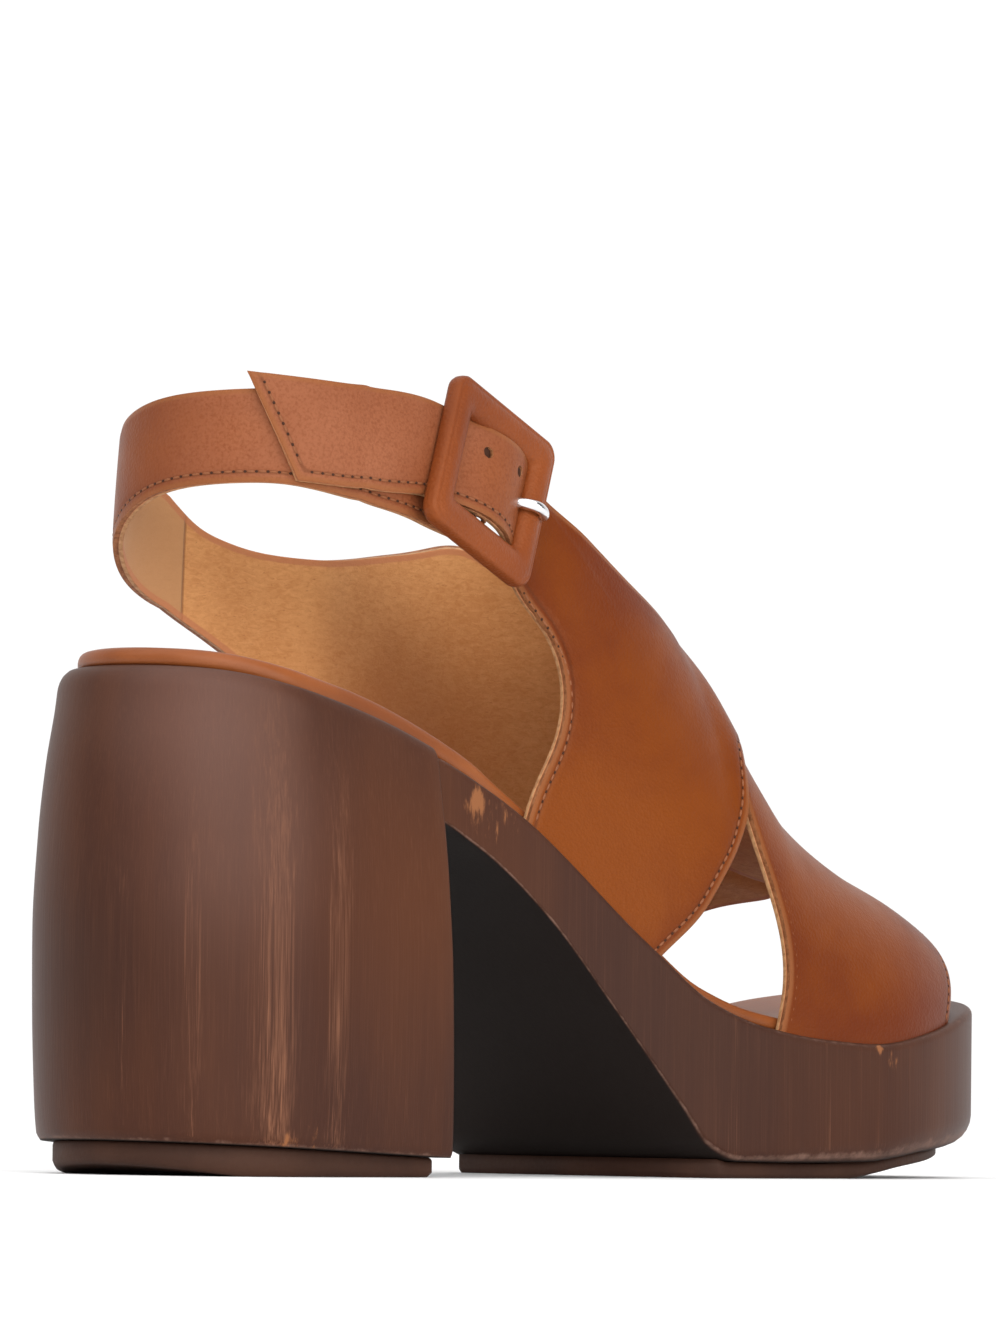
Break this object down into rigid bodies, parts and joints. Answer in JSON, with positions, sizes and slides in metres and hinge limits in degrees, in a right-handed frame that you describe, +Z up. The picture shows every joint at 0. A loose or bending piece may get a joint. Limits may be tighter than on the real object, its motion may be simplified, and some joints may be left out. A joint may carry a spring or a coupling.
{
  "type": "platform slingback sandal",
  "caption": "Open-toe platform sandal with a high block heel, crossed leather bands, side cut-outs and a buckled strap round the heel.",
  "frame": {"origin": "on the floor, under the middle of the shoe's box", "axes": "+X from the heel to the toe, +Y to the inner side of the foot, +Z up"},
  "size_m": [0.24, 0.084, 0.1556],
  "materials": {
    "dark_wood": "satin, brushed, edges worn lighter",
    "brown_rubber": "matte",
    "footbed_leather": "satin",
    "cognac_leather": "burnished satin",
    "polished_steel": "polished"
  },
  "bodies": {
    "root": {"platform_sole": "dark_wood", "forefoot_outsole": "brown_rubber", "heel_tip": "brown_rubber", "insole": "footbed_leather", "upper": "cognac_leather", "buckle_frame": "cognac_leather", "buckle_prong": "polished_steel"}
  },
  "joints": []
}
